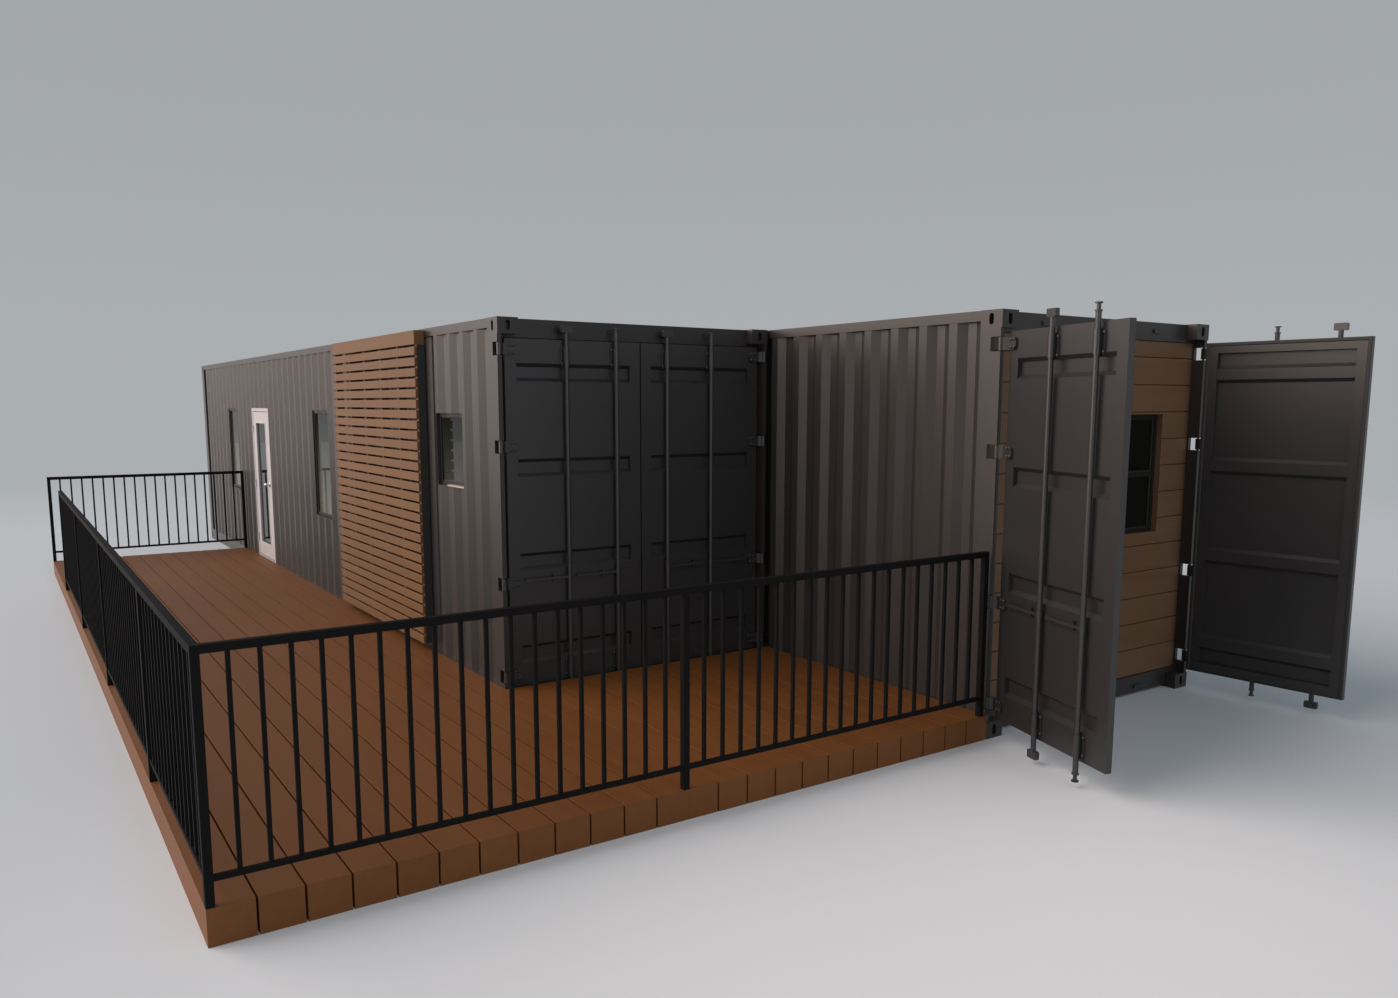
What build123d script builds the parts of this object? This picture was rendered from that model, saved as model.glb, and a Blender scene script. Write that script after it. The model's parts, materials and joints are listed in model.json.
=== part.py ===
from build123d import *
import os
from math import cos, radians, sin

os.makedirs("parts", exist_ok=True)

# A cabin made of two steel shipping containers that stand side by side on the ground, with a timber
# deck along the long side and across the end of one of them. +X runs across the containers, +Y along
# them away from the cargo doors, +Z up. The origin is the middle of the foot of the main container's
# front left corner casting.

# Container shell
container_width = 2438.0
container_height = 2896.0
main_length = 12192.0
annex_length = 12192.0
container_gap = 20.0
annex_advance = 2438.0

# Corner castings
casting_width = 162.0
casting_length = 178.0
casting_height = 118.0
casting_slot_height = 75.0
casting_slot_width = 38.0
casting_pocket = 40.0

# Corner posts at the door end are an L in plan: a narrow front leg and a wide back leg
post_front_inset = 8.0
post_leg = 34.0
post_back_width = 113.0
post_back_inset = 122.0

# Frame of rails and beams
rail_height = 163.0
rail_width = 50.0
rail_foot = 12.0
top_rail_width = 60.0
top_rail_height = 68.0
top_rail_drop = 2.0
cross_beam_pitch = 610.0
cross_beam_width = 45.0
cross_beam_foot = 25.0
beam_inset = 90.0
door_head = 2758.0
door_sill = 155.0
sill_foot = 20.0

# Floor, walls and roof
floor_thickness = 28.0
wall_inset = 4.0
wall_thickness = 91.0
wave_pitch = 278.0
wave_depth = 36.0
wave_flat = 72.0
wave_slope = 67.0
wave_start = 280.0
rear_wall_inset = 20.0
roof_sink = 11.0
roof_wave_pitch = 209.0
roof_wave_depth = 20.0
roof_wave_flat = 65.0
roof_wave_slope = 40.0

# End wall of boards behind the cargo doors
board_inset = 102.0
board_thickness = 20.0
end_wall_depth = 70.0

# Way through between the two containers
passage_start = 4200.0
passage_width = 1100.0

# Windows in the main container's left wall: distance of the near edge from the front, and size
window_head = 2203.0
small_window_start = 720.0
small_window_width = 610.0
small_window_height = 585.0
middle_window_start = 4565.0
far_window_start = 9530.0
tall_window_width = 762.0
tall_window_height = 1195.0
end_window_width = 914.0
end_window_height = 914.0
end_window_side = 388.0
window_bar = 32.0
window_depth = 40.0
window_setback = 51.0
glass_thickness = 8.0

# Entry door in the main container's left wall
entry_start = 7395.0
entry_width = 1000.0
entry_head = 2215.0
jamb_width = 42.0
jamb_proud = 4.0
entry_gap = 8.0
entry_leaf_thickness = 45.0
entry_threshold = 18.0
entry_stile = 175.0
entry_glass_foot = 182.0
entry_glass_head = 150.0
entry_stop = 14.0
entry_pin_radius = 7.0
entry_knuckle_play = 1.0
entry_knuckle_length = 50.0
entry_knuckle_gap = 0.3
knob_height = 1035.0
knob_setback = 70.0
knob_radius = 26.0
knob_neck = 9.0
knob_reach = 62.0
knob_plate_radius = 33.0
knob_plate_thickness = 6.0

# Cargo doors: the pins stand inside the corner, and the leaves close behind the castings' faces
pin_inset = 20.0
pin_radius = 8.0
pin_clearance = 0.4
knuckle_radius = 19.0
hinge_heights = (2672.0, 1968.0, 957.0, 257.0)
hinge_blade = 84.0
hinge_notch = 96.0
hinge_notch_depth = 90.0
blade_thickness = 15.0
blade_reach = 156.0
blade_corner = 30.0
leaf_edge = 75.0
leaf_inset = 55.0
leaf_thickness = 40.0
leaf_gap = 10.0
leaf_bottom = 162.0
leaf_top = 2749.0
stile_width = 92.0
leaf_rail_height = 80.0
panel_thickness = 6.0
band_heights = (2508.0, 1809.0, 1106.0, 406.0)
band_height = 132.0
band_slope = 26.0
band_depth = 30.0
left_open = 108.0
right_open = 94.5

# Locking bars on the cargo doors
bar_radius = 17.0
bar_clearance = 0.4
bar_inset = 25.0
bar_setbacks = (485.0, 911.0)
bar_bottom = 40.0
bar_top = 2854.0
cam_height = 52.0
cam_width = 90.0
cam_thickness = 30.0
cam_corner = 9.0
spool_radius = 22.0
spool_neck = 12.0
spool_flange = 8.0
sleeve_heights = (2630.0, 262.0)
sleeve_length = 140.0
sleeve_radius = 23.0
bracket_width = 80.0
bracket_height = 160.0
bracket_corner = 30.0
bracket_thickness = 8.0
bracket_web = 26.0
handle_height = 970.0
handle_length = 365.0
handle_section = 20.0
handle_thickness = 10.0
handle_collar = 21.0
left_catch_reach = 120.0
right_catch_reach = 270.0
catch_width = 36.0
catch_height = 56.0
catch_clearance = 6.0
keeper_width = 80.0
keeper_height = 28.0
keeper_depth = 12.0

# Slatted screen on the main container's left wall
screen_start = 1485.0
screen_width = 2440.0
screen_bottom = 240.0
screen_top = 2880.0
slat_thickness = 20.0
slat_height = 70.0
slat_gap = 17.0
fascia_height = 116.0
batten_depth = 70.0
batten_width = 40.0
batten_count = 6

# Deck
deck_width = 2438.0
deck_front_depth = 2438.0
deck_height = 174.0
deck_far_end = 9250.0

# Railings
railing_height = 1131.0
railing_post = 38.0
railing_bay = 2419.0
railing_rail = 38.0
railing_low_rail = 25.0
railing_low_rail_height = 111.0
baluster = 19.0
baluster_pitch = 127.3
railing_end_gap = 38.0
railing_access = 2575.0

# Places worked out from the sizes above
main_left = -casting_width / 2
main_front = -casting_length / 2
main_right = main_left + container_width
annex_left = main_right + container_gap
annex_right = annex_left + container_width
annex_front = main_front - annex_advance
floor_level = rail_foot + rail_height
wall_inner = wall_inset + wall_thickness
top_rail_top = container_height - top_rail_drop
wall_top = top_rail_top - top_rail_height
post_bottom = casting_height
post_top = container_height - casting_height
leaf_width = (container_width - leaf_gap) / 2 - leaf_edge
end_wall_back = board_inset + board_thickness + end_wall_depth


def save(part, name):
    """Label one finished piece and write it as a STEP file."""
    part.label = name
    export_step(part, f"parts/{name}.step")


def block(plane, x_range, y_range, z_range, mode=Mode.ADD):
    """A rectangular block on a plane, from its limits along the plane's own axes."""
    x_low, x_high = x_range
    y_low, y_high = y_range
    z_low, z_high = z_range
    with BuildSketch(plane.offset(z_low)) as profile:
        with Locations(((x_low + x_high) / 2, (y_low + y_high) / 2)):
            Rectangle(x_high - x_low, y_high - y_low)
    extrude(profile.sketch, amount=z_high - z_low, mode=mode)


def wave_edge(start, end, pitch, flat, slope, depth, phase):
    """Points of a trapezoid wave from start to end: crests at 0, hollows at depth, one hollow at phase."""
    half_hollow = (pitch - flat - 2 * slope) / 2

    def depth_at(place):
        away = abs((place - phase + pitch / 2) % pitch - pitch / 2)
        return depth * min(1.0, max(0.0, (half_hollow + slope - away) / slope))

    corners = []
    first = int((start - phase) // pitch) - 1
    last = int((end - phase) // pitch) + 2
    for wave in range(first, last):
        middle = phase + wave * pitch
        for offset in (-half_hollow - slope, -half_hollow, half_hollow, half_hollow + slope):
            corners.append(middle + offset)
    inside = [place for place in corners if start + 1 < place < end - 1]
    return [(place, depth_at(place)) for place in [start] + inside + [end]]


def corner_places(left, front, length):
    """The four corners of a container: outer point, and the signs that point inwards."""
    right = left + container_width
    back = front + length
    return [(left, front, 1, 1), (right, front, -1, 1), (left, back, 1, -1), (right, back, -1, -1)]


def keepers(plane, middle):
    """The four blocks on a sill or a header that the cams of the locking bars close on."""
    for side in (1, -1):
        for setback in bar_setbacks:
            x = container_width / 2 - side * (container_width / 2 - leaf_edge - setback)
            block(
                plane,
                (x - keeper_width / 2, x + keeper_width / 2),
                (beam_inset - keeper_depth, beam_inset),
                (middle - keeper_height / 2, middle + keeper_height / 2),
            )


# The two container shells
containers = (
    ("main", main_left, main_front, main_length),
    ("annex", annex_left, annex_front, annex_length),
)
for name, left, front, length in containers:
    right = left + container_width
    back = front + length
    shell = Plane(origin=(left, front, 0))
    rear_start = length - casting_length

    # Corner castings, with an oval lifting slot in each outer side face and end face
    with BuildPart() as castings:
        for x, y, inward_x, inward_y in corner_places(left, front, length):
            for z in (0, container_height - casting_height):
                with BuildSketch(Plane.XY.offset(z)):
                    with Locations((x + inward_x * casting_width / 2, y + inward_y * casting_length / 2)):
                        Rectangle(casting_width, casting_length)
                extrude(amount=casting_height)
                middle = z + casting_height / 2
                side_face = Plane(
                    origin=(x, y + inward_y * casting_length / 2, middle),
                    x_dir=(0, 0, 1),
                    z_dir=(inward_x, 0, 0),
                )
                end_face = Plane(
                    origin=(x + inward_x * casting_width / 2, y, middle),
                    x_dir=(0, 0, 1),
                    z_dir=(0, inward_y, 0),
                )
                with BuildSketch(side_face, end_face):
                    SlotOverall(casting_slot_height, casting_slot_width)
                extrude(amount=casting_pocket, mode=Mode.SUBTRACT)
    save(castings.part, f"{name}_corner_castings")

    # Corner posts: the front pair carries the cargo doors' hinge pins in notches
    with BuildPart() as posts:
        for x, y, inward_x, inward_y in corner_places(left, front, length):
            corner = Plane(origin=(x, y, 0))
            if inward_y < 0:
                block(
                    corner,
                    sorted((0, inward_x * casting_width)),
                    (-casting_length, -top_rail_drop),
                    (post_bottom, post_top),
                )
                continue
            block(
                corner,
                sorted((0, inward_x * post_leg)),
                (post_front_inset, post_back_inset),
                (post_bottom, post_top),
            )
            block(
                corner,
                sorted((0, inward_x * post_back_width)),
                (post_back_inset, casting_length),
                (post_bottom, post_top),
            )
            for z in hinge_heights:
                block(
                    corner,
                    sorted((-inward_x, inward_x * (post_leg + 1))),
                    (0, hinge_notch_depth),
                    (z - hinge_notch / 2, z + hinge_notch / 2),
                    mode=Mode.SUBTRACT,
                )
                with BuildSketch(corner.offset(z - hinge_notch / 2)):
                    with Locations((inward_x * pin_inset, pin_inset)):
                        Circle(pin_radius)
                extrude(amount=hinge_notch)
    save(posts.part, f"{name}_corner_posts")

    # Base frame: two side rails joined by cross beams, and a sill at each end between the castings
    with BuildPart() as base:
        rail_span = (casting_length, rear_start)
        block(shell, (0, rail_width), rail_span, (rail_foot, floor_level))
        block(shell, (container_width - rail_width, container_width), rail_span, (rail_foot, floor_level))
        beam_count = int((rear_start - casting_length) // cross_beam_pitch)
        for beam in range(beam_count):
            y = casting_length + (beam + 0.5) * (rear_start - casting_length) / beam_count
            block(
                shell,
                (rail_width, container_width - rail_width),
                (y - cross_beam_width / 2, y + cross_beam_width / 2),
                (cross_beam_foot, floor_level - floor_thickness),
            )
        block(
            shell,
            (casting_width, container_width - casting_width),
            (beam_inset, end_wall_back),
            (sill_foot, door_sill),
        )
        block(
            shell,
            (post_leg, container_width - post_leg),
            (beam_inset, post_back_inset),
            (casting_height, door_sill),
        )
        keepers(shell, bar_bottom + cam_height / 2)
        block(
            shell,
            (casting_width, container_width - casting_width),
            (length - end_wall_back, length - top_rail_drop),
            (sill_foot, floor_level),
        )
    save(base.part, f"{name}_base_frame")

    # Top frame: two side rails, the header over the cargo doors with its keepers, and the rear header
    with BuildPart() as top:
        for x in (0, container_width - top_rail_width):
            block(shell, (x, x + top_rail_width), (casting_length, rear_start), (wall_top, top_rail_top))
        block(
            shell,
            (casting_width, container_width - casting_width),
            (beam_inset, end_wall_back),
            (door_head, top_rail_top),
        )
        block(
            shell,
            (post_leg, container_width - post_leg),
            (beam_inset, post_back_inset),
            (door_head, post_top),
        )
        keepers(shell, bar_top - cam_height / 2)
        block(
            shell,
            (casting_width, container_width - casting_width),
            (length - end_wall_back, length - top_rail_drop),
            (wall_top, top_rail_top),
        )
    save(top.part, f"{name}_top_frame")

    # Floor of boards on the cross beams
    with BuildPart() as floor:
        block(
            shell,
            (rail_width, container_width - rail_width),
            (end_wall_back, length - end_wall_back),
            (floor_level - floor_thickness, floor_level),
        )
    save(floor.part, f"{name}_floor")

    # Roof: a steel sheet with ribs across it, lined underneath
    roof_top = container_height - roof_sink
    roof_edge = wave_edge(
        end_wall_back,
        length - end_wall_back,
        roof_wave_pitch,
        roof_wave_flat,
        roof_wave_slope,
        roof_wave_depth,
        end_wall_back + roof_wave_pitch,
    )
    with BuildPart() as roof:
        with BuildSketch(Plane(origin=(left + top_rail_width, front, 0), x_dir=(0, 1, 0), z_dir=(1, 0, 0))):
            with BuildLine():
                outline = [(y, roof_top - sink) for y, sink in roof_edge]
                Polyline(*outline, (length - end_wall_back, wall_top), (end_wall_back, wall_top), close=True)
            make_face()
        extrude(amount=container_width - 2 * top_rail_width)
    save(roof.part, f"{name}_roof")

    # Rear wall: ribbed steel sheet, lined inside
    rear_edge = wave_edge(
        casting_width,
        container_width - casting_width,
        wave_pitch,
        wave_flat,
        wave_slope,
        wave_depth,
        container_width / 2,
    )
    with BuildPart() as rear_wall:
        outer = length - rear_wall_inset
        with BuildSketch(shell.offset(floor_level)):
            with BuildLine():
                outline = [(x, outer - sink) for x, sink in rear_edge]
                inner = outer - wall_thickness
                Polyline(
                    *outline,
                    (container_width - casting_width, inner),
                    (casting_width, inner),
                    close=True,
                )
            make_face()
        extrude(amount=wall_top - floor_level)
    save(rear_wall.part, f"{name}_rear_wall")


def side_wall(x_outer, inward, front, start, end, bottom=floor_level):
    """One stretch of lined, ribbed side wall, from start to end behind the container's front."""
    edge = wave_edge(start, end, wave_pitch, wave_flat, wave_slope, wave_depth, wave_start)
    with BuildSketch(Plane(origin=(x_outer, front, bottom))) as profile:
        with BuildLine():
            outline = [(inward * (wall_inset + sink), y) for y, sink in edge]
            Polyline(*outline, (inward * wall_inner, end), (inward * wall_inner, start), close=True)
        make_face()
    extrude(profile.sketch, amount=wall_top - bottom)


main_plane = Plane(origin=(main_left, main_front, 0))
annex_plane = Plane(origin=(annex_left, annex_front, 0))
wall_start = casting_length
main_wall_end = main_length - casting_length
annex_wall_end = annex_length - casting_length
entry_end = entry_start + entry_width
passage_end = passage_start + passage_width
hole_range = (wall_inset - 1, wall_inner + 1)

# Left wall of the main container, in front of the entry door, over it and behind it
with BuildPart() as front_stretch:
    side_wall(main_left, 1, main_front, wall_start, entry_start)
    block(
        main_plane,
        hole_range,
        (small_window_start, small_window_start + small_window_width),
        (window_head - small_window_height, window_head),
        mode=Mode.SUBTRACT,
    )
    block(
        main_plane,
        hole_range,
        (middle_window_start, middle_window_start + tall_window_width),
        (window_head - tall_window_height, window_head),
        mode=Mode.SUBTRACT,
    )
save(front_stretch.part, "main_left_wall_front")

with BuildPart() as over_entry:
    side_wall(main_left, 1, main_front, entry_start, entry_end, bottom=entry_head)
save(over_entry.part, "main_left_wall_over_door")

with BuildPart() as rear_stretch:
    side_wall(main_left, 1, main_front, entry_end, main_wall_end)
    block(
        main_plane,
        hole_range,
        (far_window_start, far_window_start + tall_window_width),
        (window_head - tall_window_height, window_head),
        mode=Mode.SUBTRACT,
    )
save(rear_stretch.part, "main_left_wall_rear")

# Right wall of the main container and left wall of the annex, each in two stretches beside the passage
with BuildPart() as main_right_wall:
    side_wall(main_right, -1, main_front, wall_start, passage_start)
    side_wall(main_right, -1, main_front, passage_end, main_wall_end)
save(main_right_wall.part, "main_right_wall")

with BuildPart() as annex_left_wall:
    side_wall(annex_left, 1, annex_front, wall_start, passage_start + annex_advance)
    side_wall(annex_left, 1, annex_front, passage_end + annex_advance, annex_wall_end)
save(annex_left_wall.part, "annex_left_wall")

with BuildPart() as annex_right_wall:
    side_wall(annex_right, -1, annex_front, wall_start, annex_wall_end)
save(annex_right_wall.part, "annex_right_wall")


def end_wall(plane):
    """The wall of horizontal boards behind the cargo doors: a board face on a narrower core."""
    block(
        plane,
        (post_leg, container_width - post_leg),
        (board_inset, board_inset + board_thickness),
        (door_sill, door_head),
    )
    block(
        plane,
        (post_back_width, container_width - post_back_width),
        (board_inset + board_thickness, end_wall_back),
        (door_sill, door_head),
    )


with BuildPart() as main_end_wall:
    end_wall(main_plane)
save(main_end_wall.part, "main_end_wall")

end_window_range = (
    container_width - end_window_side - end_window_width,
    container_width - end_window_side,
)
with BuildPart() as annex_end_wall:
    end_wall(annex_plane)
    block(
        annex_plane,
        end_window_range,
        (board_inset - 1, end_wall_back + 1),
        (window_head - end_window_height, window_head),
        mode=Mode.SUBTRACT,
    )
save(annex_end_wall.part, "annex_end_wall")


def window_frame(width, height, bar_at_middle=False):
    """A window frame on the current sketch planes: a ring of bars, with a bar across if it slides."""
    Rectangle(width, height)
    Rectangle(width - 2 * window_bar, height - 2 * window_bar, mode=Mode.SUBTRACT)
    if bar_at_middle:
        Rectangle(width - 2 * window_bar, window_bar)


left_windows = (
    (small_window_start, small_window_width, small_window_height),
    (middle_window_start, tall_window_width, tall_window_height),
    (far_window_start, tall_window_width, tall_window_height),
)
frame_outer = main_left + window_setback
glass_outer = frame_outer + (window_depth - glass_thickness) / 2

# Window frames and panes in the left wall
with BuildPart() as left_frames:
    for start, width, height in left_windows:
        centre = (frame_outer, main_front + start + width / 2, window_head - height / 2)
        with BuildSketch(Plane(origin=centre, x_dir=(0, 1, 0), z_dir=(1, 0, 0))):
            window_frame(width, height)
        extrude(amount=window_depth)
save(left_frames.part, "main_window_frames")

with BuildPart() as left_panes:
    for start, width, height in left_windows:
        centre = (glass_outer, main_front + start + width / 2, window_head - height / 2)
        with BuildSketch(Plane(origin=centre, x_dir=(0, 1, 0), z_dir=(1, 0, 0))):
            Rectangle(width - 2 * window_bar, height - 2 * window_bar)
        extrude(amount=glass_thickness)
save(left_panes.part, "main_window_panes")

# Window in the boarded end wall of the annex, with a bar across its middle
end_window_centre_x = annex_left + sum(end_window_range) / 2
end_window_centre_z = window_head - end_window_height / 2
end_frame_front = annex_front + board_inset + window_setback - wall_inset
end_frame_plane = Plane(
    origin=(end_window_centre_x, end_frame_front, end_window_centre_z), x_dir=(-1, 0, 0), z_dir=(0, 1, 0)
)
end_pane_plane = end_frame_plane.offset((window_depth - glass_thickness) / 2)
pane_width = end_window_width - 2 * window_bar
pane_height = end_window_height / 2 - 1.5 * window_bar
pane_rise = (end_window_height / 2 - window_bar + window_bar / 2) / 2

with BuildPart() as end_frame:
    with BuildSketch(end_frame_plane):
        window_frame(end_window_width, end_window_height, bar_at_middle=True)
    extrude(amount=window_depth)
save(end_frame.part, "annex_window_frame")

with BuildPart() as end_panes:
    with BuildSketch(end_pane_plane):
        with Locations((0, pane_rise), (0, -pane_rise)):
            Rectangle(pane_width, pane_height)
    extrude(amount=glass_thickness)
save(end_panes.part, "annex_window_panes")

# Entry door: a frame with a stop behind the leaf, a threshold, and pins on the outside
entry_bottom = floor_level
leaf_start = entry_start + jamb_width + entry_gap
leaf_end = entry_end - jamb_width - entry_gap
leaf_foot = entry_bottom + entry_threshold + entry_gap
leaf_head = entry_head - jamb_width - entry_gap
stop_face = entry_leaf_thickness + entry_gap
entry_pin_out = jamb_proud + entry_knuckle_play + entry_pin_radius
pin_place = (-entry_pin_out, leaf_end + entry_gap / 2)
hinge_mid_heights = [leaf_foot + (leaf_head - leaf_foot) * share for share in (0.12, 0.5, 0.88)]

with BuildPart() as entry_frame:
    opening = (entry_start + jamb_width, entry_end - jamb_width)
    full = (entry_start, entry_end)
    block(main_plane, (-jamb_proud, wall_inner), full, (entry_bottom, entry_head))
    block(
        main_plane,
        (-jamb_proud - 1, wall_inner + 1),
        opening,
        (entry_bottom + entry_threshold, entry_head - jamb_width),
        mode=Mode.SUBTRACT,
    )
    block(
        main_plane, (stop_face, wall_inner), opening, (entry_bottom + entry_threshold, entry_head - jamb_width)
    )
    block(
        main_plane,
        (stop_face - 1, wall_inner + 1),
        (opening[0] + entry_stop, opening[1] - entry_stop),
        (entry_bottom + entry_threshold, entry_head - jamb_width - entry_stop),
        mode=Mode.SUBTRACT,
    )
    for z in hinge_mid_heights:
        with BuildSketch(main_plane.offset(z + entry_knuckle_gap)):
            with Locations(pin_place):
                Circle(entry_pin_radius)
            with Locations((-(entry_pin_out + jamb_proud) / 2, opening[1] + entry_pin_radius)):
                Rectangle(entry_pin_out - jamb_proud, 2 * entry_pin_radius)
        extrude(amount=entry_knuckle_length)
save(entry_frame.part, "entry_door_frame")

with BuildPart() as entry_leaf:
    block(main_plane, (0, entry_leaf_thickness), (leaf_start, leaf_end), (leaf_foot, leaf_head))
    block(
        main_plane,
        (-1, entry_leaf_thickness + 1),
        (leaf_start + entry_stile, leaf_end - entry_stile),
        (leaf_foot + entry_glass_foot, leaf_head - entry_glass_head),
        mode=Mode.SUBTRACT,
    )
    for z in hinge_mid_heights:
        with BuildSketch(main_plane.offset(z - entry_knuckle_length)):
            with Locations(pin_place):
                Circle(entry_pin_radius)
            with Locations((-entry_pin_out / 2, leaf_end - entry_pin_radius)):
                Rectangle(entry_pin_out, 2 * entry_pin_radius)
        extrude(amount=entry_knuckle_length)
save(entry_leaf.part, "entry_door_leaf")

with BuildPart() as entry_pane:
    pane_front = (entry_leaf_thickness - glass_thickness) / 2
    block(
        main_plane,
        (pane_front, pane_front + glass_thickness),
        (leaf_start + entry_stile, leaf_end - entry_stile),
        (leaf_foot + entry_glass_foot, leaf_head - entry_glass_head),
    )
save(entry_pane.part, "entry_door_pane")

with BuildPart() as entry_knobs:
    knob_place = (leaf_start + knob_setback, floor_level + knob_height)
    for face, outward in ((0, -1), (entry_leaf_thickness, 1)):
        knob_plane = Plane(
            origin=(main_left + face, main_front + knob_place[0], knob_place[1]),
            x_dir=(0, 1, 0),
            z_dir=(outward, 0, 0),
        )
        with BuildSketch(knob_plane):
            Circle(knob_plate_radius)
        extrude(amount=knob_plate_thickness)
        with BuildSketch(knob_plane.offset(knob_plate_thickness)):
            Circle(knob_neck)
        extrude(amount=knob_reach - knob_plate_thickness)
        with Locations(knob_plane.offset(knob_reach - knob_radius / 2)):
            Sphere(knob_radius)
save(entry_knobs.part, "entry_door_knobs")


def cargo_plane(left, front, hand, opening):
    """The plane of one cargo door at its hinge pin: X along the leaf or against it, Y into the cabin."""
    x = left + pin_inset if hand > 0 else left + container_width - pin_inset
    turn = radians(-hand * opening)
    return Plane(origin=(x, front + pin_inset, 0), x_dir=(cos(turn), sin(turn), 0), z_dir=(0, 0, 1))


def span(hand, low, high):
    """A range along a leaf, measured from the container's side, as a range from its pin."""
    return sorted((hand * (low - pin_inset), hand * (high - pin_inset)))


def cargo_leaf(plane, hand, catch_reach):
    """A cargo door leaf: stiles, rails and pressed panel, hinge blades, bar sleeves and handle catches."""
    outer = leaf_inset - pin_inset
    inner = outer + leaf_thickness
    free_edge = leaf_edge + leaf_width
    panel_start = leaf_edge + stile_width
    panel_end = free_edge - stile_width
    for low, high in ((leaf_edge, panel_start), (panel_end, free_edge)):
        block(plane, span(hand, low, high), (outer, inner), (leaf_bottom, leaf_top))
    for low, high in ((leaf_bottom, leaf_bottom + leaf_rail_height), (leaf_top - leaf_rail_height, leaf_top)):
        block(plane, span(hand, panel_start, panel_end), (outer, inner), (low, high))

    # The pressed panel: flush with the leaf's outer face, with four bands pressed inwards between the stiles
    section = [(outer, leaf_bottom + leaf_rail_height)]
    for middle in sorted(band_heights):
        low = middle - band_height / 2
        high = middle + band_height / 2
        section += [
            (outer, low),
            (outer + band_depth, low + band_slope),
            (outer + band_depth, high - band_slope),
            (outer, high),
        ]
    section += [(outer, leaf_top - leaf_rail_height)]
    back = [(depth + panel_thickness, height) for depth, height in reversed(section)]
    panel_plane = Plane(
        origin=plane.origin + plane.x_dir * hand * (panel_start - pin_inset),
        x_dir=plane.y_dir,
        z_dir=plane.x_dir,
    )
    with BuildSketch(panel_plane) as profile:
        with BuildLine():
            Polyline(*section, *back, close=True)
        make_face()
    extrude(profile.sketch, amount=hand * (panel_end - panel_start))

    # Hinge blades: a knuckle round each pin, an arm past the post, and a plate on the leaf's outer face
    arm_end = hand * (leaf_edge - pin_inset + blade_corner)
    plate_start = leaf_edge - blade_corner
    outer_face = Plane(origin=plane.origin, x_dir=plane.x_dir, z_dir=-plane.y_dir).offset(-outer)
    for z in hinge_heights:
        with BuildSketch(plane.offset(z - hinge_blade / 2)) as profile:
            Circle(knuckle_radius)
            with BuildLine():
                Polyline(
                    (0, -knuckle_radius),
                    (hand * knuckle_radius, 0),
                    (hand * (leaf_edge - pin_inset - blade_thickness), outer - blade_thickness),
                    (arm_end, outer - blade_thickness),
                    (arm_end, outer),
                    (hand * (leaf_edge - pin_inset - 2 * blade_thickness), outer),
                    (-hand * knuckle_radius * 0.7, knuckle_radius * 0.7),
                    close=True,
                )
            make_face()
            Circle(pin_radius + pin_clearance, mode=Mode.SUBTRACT)
        extrude(profile.sketch, amount=hinge_blade)
        with BuildSketch(outer_face) as profile:
            with Locations((hand * ((plate_start + blade_reach) / 2 - pin_inset), z)):
                RectangleRounded(blade_reach - plate_start, hinge_blade, blade_corner)
        extrude(profile.sketch, amount=blade_thickness)

    # Sleeves that the locking bars turn in, each on a web and a rounded bracket
    for setback in bar_setbacks:
        bar_x = hand * (leaf_edge + setback - pin_inset)
        bar_y = bar_inset - pin_inset
        for z in sleeve_heights:
            with BuildSketch(outer_face) as profile:
                with Locations((bar_x, z)):
                    RectangleRounded(bracket_width, bracket_height, bracket_corner)
            extrude(profile.sketch, amount=bracket_thickness)
            with BuildSketch(plane.offset(z - sleeve_length / 2)) as profile:
                with Locations((bar_x, bar_y)):
                    Circle(sleeve_radius)
                with Locations((bar_x, (bar_y + outer) / 2)):
                    Rectangle(bracket_web, outer - bar_y)
                with Locations((bar_x, bar_y)):
                    Circle(bar_radius + bar_clearance, mode=Mode.SUBTRACT)
            extrude(profile.sketch, amount=sleeve_length)
        catch_x = bar_x - hand * catch_reach
        block(
            plane,
            (catch_x - catch_width / 2, catch_x + catch_width / 2),
            (bar_y + handle_thickness / 2 + catch_clearance, outer),
            (handle_height - catch_height / 2, handle_height + catch_height / 2),
        )


def locking_bar(plane, hand, setback, hooked):
    """A locking bar with a T-shaped or a spool-shaped cam at each end, and a handle towards the hinges."""
    place = (hand * (leaf_edge + setback - pin_inset), bar_inset - pin_inset)

    def shaft(radius, low, high):
        with BuildSketch(plane.offset(low)) as profile:
            with Locations(place):
                Circle(radius)
        extrude(profile.sketch, amount=high - low)

    shaft(bar_radius, bar_bottom + cam_height, bar_top - cam_height)
    cam_back = Plane(origin=plane.origin, x_dir=plane.x_dir, z_dir=-plane.y_dir).offset(
        -(place[1] + cam_thickness / 2)
    )
    for low in (bar_bottom, bar_top - cam_height):
        if hooked:
            with BuildSketch(cam_back) as profile:
                with Locations((place[0], low + cam_height / 2)):
                    RectangleRounded(cam_width, cam_height, cam_corner)
            extrude(profile.sketch, amount=cam_thickness)
        else:
            shaft(spool_neck, low, low + cam_height)
            shaft(spool_radius, low, low + spool_flange)
            shaft(spool_radius, low + cam_height - spool_flange, low + cam_height)
    handle_range = sorted((place[0], place[0] - hand * handle_length))
    block(
        plane,
        handle_range,
        (place[1] - handle_thickness / 2, place[1] + handle_thickness / 2),
        (handle_height - handle_section / 2, handle_height + handle_section / 2),
    )
    shaft(handle_collar, handle_height - handle_section, handle_height + handle_section)


# Cargo doors of the main container, closed behind the deck, with their four locking bars
cargo_doors = (("left", 1, left_open, left_catch_reach), ("right", -1, right_open, right_catch_reach))
for side, hand, opening, catch_reach in cargo_doors:
    with BuildPart() as leaf:
        cargo_leaf(cargo_plane(main_left, main_front, hand, 0), hand, catch_reach)
    save(leaf.part, f"main_{side}_cargo_door")

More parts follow.
